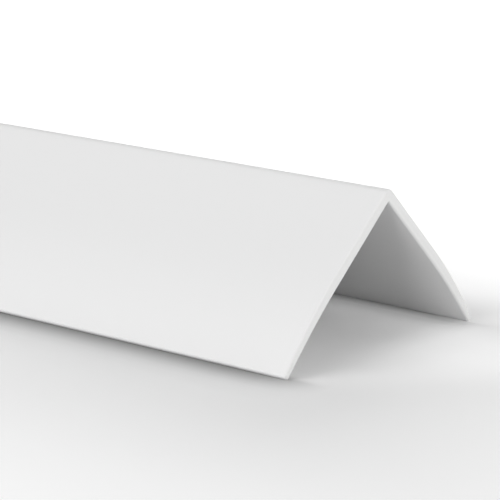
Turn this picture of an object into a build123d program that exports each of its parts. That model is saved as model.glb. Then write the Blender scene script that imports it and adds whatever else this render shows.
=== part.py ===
from build123d import *
import math
import os

# External corner trim
# One extruded length of white rigid PVC. Two equal legs meet in a rounded crown, run straight for
# the first half and then bow inwards, so that both toes press on the wall that the trim covers.
# Units are millimetres. X runs along the trim, Z is up, and the trim lies on its two toes.

# Overall sizes
length = 1000
leg = 50
corner_angle = 96

# The bowed stretch of each leg
straight = 25
bow_turn = 13

# Wall thickness, at the crown and at the toe
wall = 2.7
toe_wall = 1.6

# Rounded edges
crown_radius = 2.2
toe_radius = 0.6
end_ease = 0.55

# Directions in the section, for the leg on the +Y side
half_angle = math.radians(corner_angle / 2)
down_leg = Vector(math.sin(half_angle), -math.cos(half_angle))
inwards = Vector(-math.cos(half_angle), -math.sin(half_angle))
toe_angle = half_angle - math.radians(bow_turn)
toe_inwards = Vector(-math.cos(toe_angle), -math.sin(toe_angle))
bow_radius = (leg - straight) / math.radians(bow_turn)

os.makedirs("parts", exist_ok=True)

# The section, drawn with the sharp outer corner at its origin
# The outer face of a leg is a straight line and an arc that carries on from it. The inner face
# leaves a constant wall along the straight line, and its own arc closes in on the outer one, so
# the wall thins out smoothly towards the toe.
with BuildSketch() as section:
    with BuildLine():
        outer_straight = Line((0, 0), down_leg * straight)
        outer_bow = JernArc(outer_straight @ 1, down_leg, bow_radius, -bow_turn)
        toe_face = Line(outer_bow @ 1, outer_bow @ 1 + toe_inwards * toe_wall)
        inner_start = Vector(0, -wall / math.sin(half_angle))
        inner_end = down_leg * straight + inwards * wall
        inner_straight = Line(inner_start, inner_end)
        inner_bow = TangentArc(inner_end, toe_face @ 1, tangent=down_leg)
        Line(inner_start, (0, 0))
    make_face()
    mirror(about=Plane.YZ)
    crown = section.vertices().sort_by(Axis.Y)[-1]
    fillet(crown, crown_radius)
    toe_corners = section.vertices().sort_by(Axis.Y)[:4]
    fillet(toe_corners, toe_radius)

# How far the sharp outer corner stands above the lowest point of the toes
corner_height = -section.sketch.bounding_box().min.Y

# The trim itself, extruded from one cut end to the other
with BuildPart() as corner_trim:
    first_end = Plane(origin=(-length / 2, 0, corner_height), x_dir=(0, 1, 0), z_dir=(1, 0, 0))
    with BuildSketch(first_end):
        add(section.sketch)
    extrude(amount=length)
    # The saw burr is rubbed off both cut ends, which leaves their edges slightly round
    cut_edges = corner_trim.edges().filter_by(Axis.X, reverse=True)
    fillet(cut_edges, end_ease)

corner_trim.part.label = "corner_trim"
export_step(corner_trim.part, "parts/corner_trim.step")
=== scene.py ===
# %% [markdown]
# # A white external corner trim
# The real object is one length of rigid PVC, pushed hot through a steel die and cut to length with a saw.
# It covers the outside corner of a wall or of wall panels. Here it lies on its two toes, like a tent.
# The CAD model holds its true shape. This script gives it a fine mesh, its plastic, a floor, lamps and a
# camera.

import math

import bmesh
import bpy
import numpy as np
from mathutils import Matrix, Vector


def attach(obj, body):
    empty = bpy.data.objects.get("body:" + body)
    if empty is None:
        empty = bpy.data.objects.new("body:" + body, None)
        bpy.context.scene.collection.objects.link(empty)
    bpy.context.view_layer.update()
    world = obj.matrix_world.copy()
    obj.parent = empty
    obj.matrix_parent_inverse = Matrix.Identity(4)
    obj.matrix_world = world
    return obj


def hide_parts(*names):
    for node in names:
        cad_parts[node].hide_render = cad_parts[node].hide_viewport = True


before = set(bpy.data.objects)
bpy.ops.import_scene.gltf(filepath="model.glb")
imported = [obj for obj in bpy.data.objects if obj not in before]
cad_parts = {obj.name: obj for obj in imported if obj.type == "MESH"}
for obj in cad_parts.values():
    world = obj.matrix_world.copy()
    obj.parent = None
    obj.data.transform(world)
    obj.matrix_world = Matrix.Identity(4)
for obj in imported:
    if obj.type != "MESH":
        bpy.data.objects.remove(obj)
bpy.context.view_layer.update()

# %% [markdown]
# ## The sizes
# An extrusion is known by its section, so nearly every size is one of the section's. They repeat the CAD
# model's own sizes, in metres. The last two are finer than what a CAD model holds: no die has a perfectly
# sharp inside corner, and no extrusion comes out perfectly flat.

# %% Sizes of the trim
mm = 0.001
length = 1000 * mm
leg = 50 * mm
corner_angle = math.radians(96)
straight = 25 * mm
bow_turn = math.radians(13)
wall = 2.7 * mm
toe_wall = 1.6 * mm
crown_radius = 2.2 * mm
toe_radius = 0.6 * mm
end_ease = 0.55 * mm
inside_radius = 0.3 * mm
waviness = 0.02 * mm

# %% [markdown]
# ## The camera
# A long lens, a little above the trim, looks across the cut end and along the near leg. It is placed by
# its own three directions: where it looks, its right and its up. A small roll tips the horizon, as in a
# picture that was taken by hand.

# %% Camera
eye = Vector((0.780697, -0.406932, 0.131391))
yaw, pitch, roll = (math.radians(angle) for angle in (-38.006, -12.58, 1.528))
look = Vector((math.cos(pitch) * math.sin(yaw), math.cos(pitch) * math.cos(yaw), math.sin(pitch)))
level_right = Vector((math.cos(yaw), -math.sin(yaw), 0))
level_up = level_right.cross(look)
right = level_right * math.cos(roll) + level_up * math.sin(roll)
up = level_up * math.cos(roll) - level_right * math.sin(roll)

camera_data = bpy.data.cameras.new("camera")
camera_data.lens = 169.785
camera_data.clip_start = 0.01
camera_data.clip_end = 100
camera = bpy.data.objects.new("camera", camera_data)
camera.matrix_world = Matrix.Translation(eye) @ Matrix((right, up, -look)).transposed().to_4x4()
bpy.context.scene.collection.objects.link(camera)
bpy.context.scene.camera = camera
print("camera", [round(value, 3) for value in camera.location], "lens", camera_data.lens)

# %% [markdown]
# ## Lines and arcs
# The outline of the section could be traced with curve handles, but a die maker cuts lines and arcs, and
# those can be written down exactly. Each point of the outline also gets the direction that faces out of
# the plastic there. The cut ends need it later, because their edge is rounded by drawing the outline in.

# %% Helpers for the outline
def spoke(angle):
    """The direction at an angle from +Y, counted towards +Z."""
    return Vector((math.cos(angle), math.sin(angle)))


def face_line(start, end, facing, steps):
    """Points of a straight face, all facing one way."""
    return [(start.lerp(end, step / steps), facing) for step in range(steps + 1)]


def face_arc(centre, radius, first, last, steps, facing=1):
    """Points of an arc between two angles. They face away from its centre, or towards it with facing -1."""
    angles = [first + (last - first) * step / steps for step in range(steps + 1)]
    return [(centre + spoke(angle) * radius, spoke(angle) * facing) for angle in angles]


# %% [markdown]
# ## The section
# One half is enough. It starts on top of the crown, runs down the outside of a leg, round the toe and back
# up the inside to the corner. The wall stays even along the straight stretch. In the bow the inner arc is
# flatter than the outer one, so the wall thins out towards the toe. The other leg is the mirror image.

# %% Half of the outline
quarter = math.pi / 2
half_angle = corner_angle / 2
toe_angle = half_angle - bow_turn
down_leg = Vector((math.sin(half_angle), -math.cos(half_angle)))
down_toe = Vector((math.sin(toe_angle), -math.cos(toe_angle)))

# The outside, with the sharp corner that the crown rounds off at the origin
crown_centre = Vector((0, -crown_radius / math.sin(half_angle)))
crown_end = down_leg * crown_radius / math.tan(half_angle)
outer_radius = (leg - straight) / bow_turn
outer_centre = down_leg * straight - spoke(half_angle) * outer_radius
toe_corner = outer_centre + spoke(toe_angle) * outer_radius

# The inside, whose arc leaves the straight face smoothly and ends a toe wall away from the outside
inner_start = down_leg * straight - spoke(half_angle) * wall
inner_toe = toe_corner - spoke(toe_angle) * toe_wall
chord = inner_toe - inner_start
inner_radius = chord.length_squared / (-2 * chord.dot(spoke(half_angle)))
inner_centre = inner_start - spoke(half_angle) * inner_radius
inner_turn = 2 * math.asin(chord.length / (2 * inner_radius))
inside_tip = Vector((0, -(wall + inside_radius) / math.sin(half_angle)))
tip_start = inside_tip + spoke(half_angle) * inside_radius

# The rounds of the toe: a square outer corner and an inner one that the taper leaves a little open
outer_round = toe_corner - (down_toe + spoke(toe_angle)) * toe_radius
outer_end_angle = toe_angle + toe_radius / outer_radius
under_toe_angle = toe_angle - quarter
inner_end_angle = half_angle - inner_turn
open_turn = quarter + (toe_angle - inner_end_angle)
inner_setback = toe_radius * math.tan(open_turn / 2)
inner_round = inner_toe + spoke(toe_angle) * inner_setback - down_toe * toe_radius
inner_first_angle = inner_end_angle + inner_setback / inner_radius

# How many short edges stand for each stretch
crown_steps = 12
straight_steps = 10
bow_steps = 18
toe_steps = 6
tip_steps = 4

half_outline = face_arc(crown_centre, crown_radius, quarter, half_angle, crown_steps)
half_outline += face_line(crown_end, down_leg * straight, spoke(half_angle), straight_steps)
half_outline += face_arc(outer_centre, outer_radius, half_angle, outer_end_angle, bow_steps)
half_outline += face_arc(outer_round, toe_radius, toe_angle, under_toe_angle, toe_steps)
half_outline += face_arc(inner_round, toe_radius, under_toe_angle, under_toe_angle - open_turn, toe_steps)
half_outline += face_arc(inner_centre, inner_radius, inner_first_angle, half_angle, bow_steps, -1)
half_outline += face_line(inner_start, tip_start, -spoke(half_angle), straight_steps)
half_outline += face_arc(inside_tip, inside_radius, half_angle, quarter, tip_steps, -1)
print(len(half_outline), "points on half of the outline")

# %% The whole outline, standing on the floor
# Where two stretches meet, their end points are one point. A step between them would shade as a crease.
lowest = min(point.y for point, facing in half_outline)
mirror = Matrix(((-1, 0), (0, 1)))
outline = half_outline + [(mirror @ point, mirror @ facing) for point, facing in reversed(half_outline)]
same_point = 0.01 * mm
section_points, section_facings = [], []
for point, facing in outline:
    place = Vector((0, point.x, point.y - lowest))
    if not section_points or (place - section_points[-1]).length > same_point:
        section_points.append(place)
        section_facings.append(Vector((0, facing.x, facing.y)))
if (section_points[0] - section_points[-1]).length < same_point:
    section_points.pop()
    section_facings.pop()
height = max(point.z for point in section_points)
width = 2 * max(point.y for point in section_points)
print(len(section_points), "points on the whole section")
print("section height", round(height / mm, 3), "mm, width", round(width / mm, 3), "mm")

# %% [markdown]
# ## Writing nodes as sums
# Geometry and shader trees hold a lot of arithmetic, which is hard to follow as separate nodes. This small
# class wraps a socket, so that a sum in Python adds the Math or Vector Math node for it. Every other node
# is added by one method, which takes the node's type, its settings and what goes into its sockets.

# %% Nodes from expressions
class Signal:
    """An output socket that can be used in a sum."""

    def __init__(self, flow, socket):
        self.flow = flow
        self.socket = socket

    def output(self, name):
        """Another output of the same node."""
        return Signal(self.flow, self.socket.node.outputs[name])

    def math(self, operation, *values):
        """A Math node, or a Vector Math node where a vector is among the values."""
        signals = [value for value in values if isinstance(value, Signal)]
        vectors = [signal for signal in signals if signal.socket.type == "VECTOR"]
        if not vectors:
            return self.flow.add("ShaderNodeMath", {"operation": operation}, dict(enumerate(values)))
        if operation == "MULTIPLY" and len(vectors) == 1:
            factor = [value for value in values if value is not vectors[0]][0]
            sockets = {"Vector": vectors[0], "Scale": factor}
            return self.flow.add("ShaderNodeVectorMath", {"operation": "SCALE"}, sockets)
        return self.flow.add("ShaderNodeVectorMath", {"operation": operation}, dict(enumerate(values)))

    def __add__(self, other):
        return self.math("ADD", self, other)

    def __radd__(self, other):
        return self.math("ADD", other, self)

    def __sub__(self, other):
        return self.math("SUBTRACT", self, other)

    def __rsub__(self, other):
        return self.math("SUBTRACT", other, self)

    def __mul__(self, other):
        return self.math("MULTIPLY", self, other)

    def __rmul__(self, other):
        return self.math("MULTIPLY", other, self)

    def __truediv__(self, other):
        return self.math("DIVIDE", self, other)

    def __pow__(self, exponent):
        return self.math("POWER", self, exponent)

    def sin(self):
        return self.math("SINE", self)

    def cos(self):
        return self.math("COSINE", self)

    def between(self, low, high):
        """The value, held between two limits."""
        return self.math("MINIMUM", self.math("MAXIMUM", self, low), high)


class Flow:
    """A node tree that is filled by calls."""

    def __init__(self, tree):
        self.tree = tree

    def add(self, kind, settings=None, sockets=None, output=0):
        """Adds a node and gives back one of its outputs."""
        node = self.tree.nodes.new(kind)
        for name, value in (settings or {}).items():
            if name == "stops":
                ramp = node.color_ramp
                while len(ramp.elements) < len(value):
                    ramp.elements.new(0.5)
                for element, (place, colour) in zip(ramp.elements, value):
                    element.position = place
                    element.color = colour
            else:
                setattr(node, name, value)
        for name, value in (sockets or {}).items():
            socket = self.find(node.inputs, name)
            if isinstance(value, Signal):
                self.tree.links.new(value.socket, socket)
            else:
                socket.default_value = value
        return Signal(self, self.find(node.outputs, output)) if node.outputs else node

    def find(self, sockets, name):
        """A socket by its name or its number. Nodes hide the sockets that their settings don't use."""
        shown = [socket for socket in sockets if socket.enabled]
        if isinstance(name, str):
            return [socket for socket in shown if socket.name == name][0]
        return shown[name]

    def take(self, name, kind):
        """A named input of a geometry tree, as a signal."""
        self.tree.interface.new_socket(name, in_out="INPUT", socket_type=kind)
        holders = [node for node in self.tree.nodes if node.bl_idname == "NodeGroupInput"]
        holder = holders[0] if holders else self.tree.nodes.new("NodeGroupInput")
        return Signal(self, holder.outputs[name])

    def store(self, geometry, name, value):
        """Writes a number or a vector on every point."""
        kind = "FLOAT_VECTOR" if value.socket.type == "VECTOR" else "FLOAT"
        settings = {"data_type": kind, "domain": "POINT"}
        sockets = {"Geometry": geometry, "Name": name, "Value": value}
        return self.add("GeometryNodeStoreNamedAttribute", settings, sockets)

    def recall(self, name, kind="FLOAT"):
        """Reads back what was written on the points."""
        return self.add("GeometryNodeInputNamedAttribute", {"data_type": kind}, {"Name": name})

    def noise(self, place, cells, detail, roughness=0.5):
        """Noise with the given number of cells a metre along X, Y and Z."""
        stretched = self.add("ShaderNodeVectorMath", {"operation": "MULTIPLY"}, {0: place, 1: cells})
        sockets = {"Vector": stretched, "Scale": 1.0, "Detail": detail, "Roughness": roughness}
        return self.add("ShaderNodeTexNoise", {}, sockets)

    def rays(self):
        """Two masks: one for the camera's own rays, one for those and the rays of reflections and glass."""
        own = self.add("ShaderNodeLightPath", {}, {}, "Is Camera Ray")
        seen = own + own.output("Is Glossy Ray") + own.output("Is Transmission Ray")
        return own, seen.between(0, 1)


# %% [markdown]
# ## The sweep
# The trim is its section, carried along a straight line. A geometry tree does that in one place, and its
# inputs stay open to change: how long the piece is, how round its cut edges are and how wavy its faces.
# The stations along the line crowd together in the last fraction of a millimetre at each end. There they
# follow a quarter circle, while the outline is drawn in by as much, which rounds the cut edge all the way
# round. One more station on each cut, drawn in a little further, keeps it truly flat under smooth shading.

# %% Geometry tree: stations along the line
sweep = bpy.data.node_groups.new("sweep_of_the_section", "GeometryNodeTree")
flow = Flow(sweep)
section_in = flow.take("Section", "NodeSocketGeometry")
length_in = flow.take("Length", "NodeSocketFloat")
ease_in = flow.take("End ease", "NodeSocketFloat")
margin_in = flow.take("End margin", "NodeSocketFloat")
waviness_in = flow.take("Waviness", "NodeSocketFloat")
stations_in = flow.take("Stations", "NodeSocketInt")
steps_in = flow.take("Ease steps", "NodeSocketInt")
plastic_in = flow.take("Plastic", "NodeSocketMaterial")

last_station = stations_in - 1
from_back = flow.add("GeometryNodeInputIndex")
from_front = last_station - from_back
back_turn = ((from_back - 1) / steps_in).between(0, 1) * quarter
front_turn = ((from_front - 1) / steps_in).between(0, 1) * quarter
share = ((from_back - 1 - steps_in) / (last_station - 2 - 2 * steps_in)).between(0, 1)
along = (share - 0.5) * (length_in - 2 * ease_in) - ease_in * back_turn.cos() + ease_in * front_turn.cos()
drawn_in = ease_in * (2 - back_turn.sin() - front_turn.sin())
at_very_end = 2 - from_back.between(0, 1) - from_front.between(0, 1)

rail = flow.add("GeometryNodeCurvePrimitiveLine")
rail = flow.add("GeometryNodeResampleCurve", {"mode": "COUNT"}, {"Curve": rail, "Count": stations_in})
rail = flow.store(rail, "along", along)
rail = flow.store(rail, "drawn_in", drawn_in + margin_in * at_very_end)
rail = flow.store(rail, "cut", (drawn_in / ease_in).between(0, 1))

# %% Geometry tree: the skin
profile = flow.add("GeometryNodeMeshToCurve", {}, {"Mesh": section_in})
skin = flow.add("GeometryNodeCurveToMesh", {}, {"Curve": rail, "Profile Curve": profile, "Fill Caps": True})
flat_place = flow.recall("place", "FLOAT_VECTOR")
facing = flow.recall("facing", "FLOAT_VECTOR")
station_place = flow.add("ShaderNodeCombineXYZ", {}, {"X": flow.recall("along")})
exact_place = flat_place + station_place

# Slow ripples from the haul-off: long along the trim, shorter across it, and only ever inwards
ripple_cells = (9.0, 45.0, 45.0)
ripple = flow.noise(exact_place, ripple_cells, detail=1.0, roughness=0.4)
inwards = flow.recall("drawn_in") + waviness_in * ripple.between(0, 1) * (1 - flow.recall("cut"))
final_place = exact_place - facing * inwards
skin = flow.add("GeometryNodeSetPosition", {}, {"Geometry": skin, "Position": final_place})
skin = flow.add("GeometryNodeFlipFaces", {}, {"Mesh": skin})
skin = flow.add("GeometryNodeSetShadeSmooth", {}, {"Geometry": skin})
skin = flow.add("GeometryNodeRealizeInstances", {}, {"Geometry": skin})
skin = flow.add("GeometryNodeSetMaterial", {}, {"Geometry": skin, "Material": plastic_in})
sweep.interface.new_socket("Trim", in_out="OUTPUT", socket_type="NodeSocketGeometry")
flow.add("NodeGroupOutput", {}, {"Trim": skin})
print("sweep tree", len(sweep.nodes), "nodes")

# %% [markdown]
# ## From the tree to a mesh
# The section goes in as a closed chain of edges. The tree needs no more than the place and the facing of
# each of its points, written on them as attributes. What comes out is kept as a plain mesh, and the object
# that ran the tree is thrown away.

# %% Run the sweep
plastic = bpy.data.materials.new("extruded_white_pvc")
plastic.use_nodes = True

section_mesh = bpy.data.meshes.new("section")
count = len(section_points)
chain = [(number, (number + 1) % count) for number in range(count)]
section_mesh.from_pydata(section_points, chain, [])
for name, vectors in (("place", section_points), ("facing", section_facings)):
    attribute = section_mesh.attributes.new(name, "FLOAT_VECTOR", "POINT")
    attribute.data.foreach_set("vector", np.array(vectors, np.float32).ravel())
section = bpy.data.objects.new("section", section_mesh)
bpy.context.scene.collection.objects.link(section)

# The very last station at each end lies on the flat of the cut, a margin away from its rounded edge
end_margin = 0.03 * mm
stations = 165
ease_steps = 6
modifier = section.modifiers.new("sweep", "NODES")
modifier.node_group = sweep
sweep_sizes = {"Length": length, "End ease": end_ease, "End margin": end_margin, "Waviness": waviness,
               "Stations": stations, "Ease steps": ease_steps, "Plastic": plastic}
for item in sweep.interface.items_tree:
    if item.in_out == "INPUT" and item.name in sweep_sizes:
        modifier[item.identifier] = sweep_sizes[item.name]

evaluated = section.evaluated_get(bpy.context.evaluated_depsgraph_get())
trim_mesh = bpy.data.meshes.new_from_object(evaluated)
section.modifiers.remove(modifier)
bpy.data.objects.remove(section)
trim_mesh.name = "corner_trim_extrusion"
trim = bpy.data.objects.new("corner_trim_extrusion", trim_mesh)
bpy.context.scene.collection.objects.link(trim)

# %% Measure the mesh
solid = bmesh.new()
solid.from_mesh(trim_mesh)
open_edges = [edge for edge in solid.edges if not edge.is_manifold]
volume = solid.calc_volume(signed=True)
print("trim mesh", len(solid.verts), "points", len(solid.faces), "faces", len(open_edges), "open edges")
print("volume", round(volume / mm ** 3), "cubic mm")
solid.free()

# %% [markdown]
# ## The plastic
# Rigid PVC for trims is filled with white pigment: neutral, opaque and smooth, with a dull satin sheen.
# What is left of the making runs along the length, as faint lines from the lip of the die. The sawn ends
# are duller. Object coordinates suit it, because a pattern that is pulled long along X follows an
# extrusion by itself.

# %% White PVC
pvc_white = (0.83, 0.83, 0.83)
sawn_white = (0.815, 0.815, 0.81)
satin = 0.46
relief = 0.02 * mm

plastic.node_tree.nodes.clear()
flow = Flow(plastic.node_tree)
place = flow.add("ShaderNodeTexCoord", {}, {}, "Object")
cut = flow.add("ShaderNodeAttribute", {"attribute_name": "cut"}, {}, "Fac")

# The marks of the die are pulled long along X, the grain is even, and the saw marks run across the cut
die_lines = flow.noise(place, (2.0, 700.0, 700.0), detail=3.0, roughness=0.6)
streaks = flow.noise(place, (4.0, 90.0, 90.0), detail=2.0)
clouds = flow.noise(place, (14.0, 25.0, 25.0), detail=2.0)
grain = flow.noise(place, (900.0, 900.0, 900.0), detail=2.0)
saw_marks = flow.noise(place, (0.0, 420.0, 2600.0), detail=2.0, roughness=0.7)


def shaded(colour, factor):
    """A colour, made a little darker or lighter."""
    return flow.add("ShaderNodeVectorMath", {"operation": "SCALE"}, {"Vector": colour, "Scale": factor})


# In each sum, the number before a pattern says how much of it shows
skin_tone = shaded(pvc_white, 0.985 + 0.012 * streaks + 0.012 * clouds)
sawn_tone = shaded(sawn_white, 0.97 + 0.05 * saw_marks)
tone = flow.add("ShaderNodeMix", {"data_type": "VECTOR"}, {"Factor": cut, "A": skin_tone, "B": sawn_tone})
dullness = satin + 0.06 * clouds + 0.05 * (streaks - 0.5) + cut * (0.15 + 0.1 * saw_marks)
bumps = 0.6 * die_lines + 0.25 * grain + cut * (2.0 * saw_marks - 0.6 * die_lines)
normal = flow.add("ShaderNodeBump", {}, {"Strength": 0.35, "Distance": relief, "Height": bumps})
finish = {"Base Color": tone, "Roughness": dullness, "Normal": normal,
          "IOR": 1.54, "Specular IOR Level": 0.12}
skin_shader = flow.add("ShaderNodeBsdfPrincipled", {}, finish)
flow.add("ShaderNodeOutputMaterial", {}, {"Surface": skin_shader})
print("plastic", len(plastic.node_tree.nodes), "nodes")

# %% [markdown]
# ## The table
# The trim lies on white paper that runs off into white light. Close to the trim the paper is matt and takes
# the shadow. Further out it has to burn out to pure white, as it does in a studio picture. More light would
# also bleach the plastic, so the paper glows by itself instead, but only to the camera and to reflections.
# How much it glows depends on how far it is from the trim's own footprint: little in front and past the
# ends, sooner behind. Two smaller glows lie on top of that: a pale band under the trim, inside the end that
# the panels shine into, and a paler front, well back from the ends. Right along the toes the paper is toned
# down instead. A wide light leaves a soft grey line there, where an edge all but touches the paper, and a
# handful of suns is too few to draw it. Each tone is a colour ramp over one distance, with its stops
# listed.
# The glow is painted light: where it is weak, close to the trim, it paints a broad soft shadow. The pale
# band and the paler front are painted light too, and the grey toe lines are a painted shadow.

# %% Floor
floor_reach = 30.0
corners = [(x * floor_reach, y * floor_reach, 0) for x, y in ((-1, -1), (1, -1), (1, 1), (-1, 1))]
floor_mesh = bpy.data.meshes.new("floor")
floor_mesh.from_pydata(corners, [], [(0, 1, 2, 3)])
floor = bpy.data.objects.new("floor", floor_mesh)
bpy.context.scene.collection.objects.link(floor)
print("floor", 2 * floor_reach, "m across")

# %% White paper
paper = bpy.data.materials.new("white_paper")
paper.use_nodes = True
paper.node_tree.nodes.clear()
flow = Flow(paper.node_tree)


def by_distance(distance, stops):
    """A value that follows stops, each given as a distance in millimetres and the value there."""
    first = stops[0][0]
    reach = stops[-1][0] - first
    stops = [((place - first) / reach, (value, value, value, 1)) for place, value in stops]
    share = (distance - first * mm) / (reach * mm)
    return flow.add("ShaderNodeValToRGB", {"stops": stops}, {"Fac": share})


def palest(*tones):
    """About the palest of some tones, with no crease where one takes over from another."""
    sharpness = 4
    powers = [tone ** sharpness for tone in tones]
    return sum(powers[1:], powers[0]) ** (1 / sharpness)


def from_line(distance, quicker):
    """How far a spot is from a line. Behind it, where the distance is negative, it counts quicker."""
    return distance.math("MAXIMUM", distance, -quicker * distance)


def as_grey(value):
    """A neutral colour from one value."""
    return flow.add("ShaderNodeCombineColor", {}, {"Red": value, "Green": value, "Blue": value})


# %% Where a spot of the paper lies
# How far the trim reaches to each side of its middle, and how far out its toes touch the paper
half_width = 35 * mm
toe_line = 33.5 * mm
spot = flow.add("ShaderNodeTexCoord", {}, {}, "Object")
along = flow.add("ShaderNodeSeparateXYZ", {}, {"Vector": spot}, "X")
across = along.output("Y")
past_the_lit_end = along - length / 2
past_the_end = flow.add("ShaderNodeMath", {"operation": "ABSOLUTE"}, {0: along}) - length / 2
past_the_front = -half_width - across
past_the_back = across - half_width

# %% How much the paper glows
# Painted light: the glow is weakest by the trim, which paints a broad soft shadow, and is pure white far
# out
glow_front = by_distance(past_the_front, [(0, 0.025), (20, 0.045), (35, 0.09), (67, 0.185), (110, 0.27),
                                          (180, 0.45), (400, 1.0)])
glow_end = by_distance(past_the_end, [(0, 0.0), (15, 0.025), (30, 0.08), (45, 0.12), (60, 0.15), (80, 0.19),
                                      (140, 0.45), (400, 1.0)])
glow_back = by_distance(past_the_back, [(0, 0.03), (10, 0.13), (25, 0.29), (45, 0.37), (60, 0.45),
                                        (400, 1.0)])

# Just past the open ends the paper glows more too, and more so towards the back: painted light
open_end_painted_light_along = by_distance(past_the_end, [(-30, 0.0), (-10, 0.08), (-5, 0.22), (0, 0.62), (4, 1.0), (14, 1.0),
                                        (24, 0.84), (37, 0.55), (55, 0.4), (170, 0.4)])
open_end_painted_light_across = by_distance(across, [(-35, 0.03), (-30, 0.045), (-17, 0.095), (-5, 0.175), (6, 0.255),
                                   (19, 0.28), (30, 0.23), (40, 0.19), (60, 0.25), (80, 0.31), (165, 0.45)])

# Painted light inside the end that the panels shine into: a pale band a little way in from the far toe
painted_light_band_along = by_distance(past_the_lit_end, [(-200, 0.0), (-100, 0.6), (-50, 1.0), (-25, 1.0), (-15, 0.8),
                                            (-6, 0.5), (0, 0.35), (8, 0.0)])
painted_light_band_across = by_distance(across, [(8, 0.0), (12, 0.025), (16, 0.05), (19, 0.075), (22, 0.095),
                                   (25.5, 0.08), (28, 0.045), (30, 0.02), (34, 0.0)])

# Painted light: well back from the ends, the paper in front glows a little more
front_painted_light_along = by_distance(past_the_end, [(-80, 1.0), (-70, 0.95), (-50, 0.6), (-30, 0.27), (-10, 0.05),
                                         (0, 0.0)])
front_painted_light_beside = by_distance(past_the_front, [(5, 0.0), (10, 0.035), (13, 0.06), (18, 0.075), (24, 0.08),
                                            (30, 0.065), (40, 0.045), (60, 0.02), (90, 0.0)])

glow = palest(glow_front, glow_end, glow_back, open_end_painted_light_along * open_end_painted_light_across)
glow = glow + painted_light_band_along * painted_light_band_across + front_painted_light_along * front_painted_light_beside

# %% Painted shadow along the toes
# Painted shadow: a soft grey line in front of the near toe, and a narrower one inside the far toe
from_near_toe = from_line(-toe_line - across, quicker=3.5)
near_toe_painted_shadow = by_distance(from_near_toe, [(0, 0.68), (1.4, 0.64), (3.9, 0.46), (6.4, 0.27), (8.9, 0.13),
                                        (12, 0.05), (18, 0.0)])
from_far_toe = from_line(toe_line - across, quicker=4)
far_toe_painted_shadow = by_distance(from_far_toe, [(0, 0.4), (1.2, 0.26), (2.5, 0.14), (4, 0.0)])
toe_painted_shadow_along = by_distance(past_the_end, [(-15, 1.0), (-5, 0.85), (0, 0.6), (6, 0.15), (10, 0.0)])

# A small painted shadow inside the foot of the far leg, at its cut ends
foot_painted_shadow_across = by_distance(toe_line - across, [(0, 0.0), (1, 0.08), (2.5, 0.19), (4.5, 0.19), (7, 0.09),
                                              (10, 0.0)])
foot_painted_shadow_along = by_distance(past_the_end, [(-18, 0.0), (-12, 0.3), (-6, 0.75), (-3, 1.0), (0, 0.85), (3, 0.4),
                                        (6, 0.0)])
painted_shadow = (near_toe_painted_shadow + far_toe_painted_shadow) * toe_painted_shadow_along + foot_painted_shadow_across * foot_painted_shadow_along

# %% The paper's shader
# The camera sees whiter paper than the one that bounces light up at the trim
seen_white = 0.96
bounced_white = 0.8
own_ray, seen_ray = flow.rays()
white = bounced_white + (seen_white - bounced_white) * own_ray
# The painted shadow darkens the paper's own colour, for the camera and for the light that it bounces
finish = {"Base Color": as_grey(white * (1 - painted_shadow)), "Roughness": 1.0, "Specular IOR Level": 0.0,
          "Emission Color": as_grey(glow * seen_ray), "Emission Strength": 1.0}
paper_shader = flow.add("ShaderNodeBsdfPrincipled", {}, finish)
flow.add("ShaderNodeOutputMaterial", {}, {"Surface": paper_shader})
floor_mesh.materials.append(paper)
print("paper", len(paper.node_tree.nodes), "nodes")

# %% [markdown]
# ## The light
# The picture is lit by a panel at mid height in front, three lower ones past the cut end and a weak one
# behind. A narrow strip, set low in front, shines in past the end of the near leg and lights the inside of
# the far one next to the cut end. The room itself is dim, and the round crown turns away from the panels,
# so it goes grey. Suns with a wide disc stand in for the panels, because they light the whole length of
# the trim evenly.

# %% Lamps
# Each lamp has a name, an azimuth, an elevation and a spread in degrees, and a strength
lamps = [("front panel", 240, 30, 45, 0.385),
         ("front strip", 278, 6, 16, 0.2),
         ("end panel, front", 330, 18, 40, 0.25),
         ("end panel, middle", 30, 8, 30, 0.315),
         ("end panel, back", 60, 15, 40, 0.105),
         ("back panel", 120, 15, 40, 0.16)]
for name, azimuth, elevation, spread, strength in lamps:
    lamp_data = bpy.data.lights.new(name, "SUN")
    lamp_data.angle = math.radians(spread)
    lamp_data.energy = math.pi * strength
    lamp = bpy.data.objects.new(name, lamp_data)
    turn = math.radians(azimuth)
    lift = math.radians(elevation)
    towards = Vector((math.cos(lift) * math.cos(turn), math.cos(lift) * math.sin(turn), math.sin(lift)))
    lamp.matrix_world = towards.to_track_quat("Z", "Y").to_matrix().to_4x4()
    bpy.context.scene.collection.objects.link(lamp)
print(len(lamps), "lamps")

# %% World
# The camera and reflections see a pure white room. The light that it throws on the trim is much dimmer.
room_light = 0.315
world = bpy.data.worlds.new("white_room")
world.use_nodes = True
world.node_tree.nodes.clear()
flow = Flow(world.node_tree)
own_ray, seen_ray = flow.rays()
brightness = room_light + (1 - room_light) * seen_ray
air = flow.add("ShaderNodeBackground", {}, {"Color": (1, 1, 1, 1), "Strength": brightness})
flow.add("ShaderNodeOutputWorld", {}, {"Surface": air})
bpy.context.scene.world = world
print("world", len(world.node_tree.nodes), "nodes")

# %% [markdown]
# ## Hand over
# The finished piece rides with the CAD body and stands for the CAD node, which is hidden.

bpy.context.scene.view_settings.view_transform = "Standard"
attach(trim, "root")
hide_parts("corner_trim")
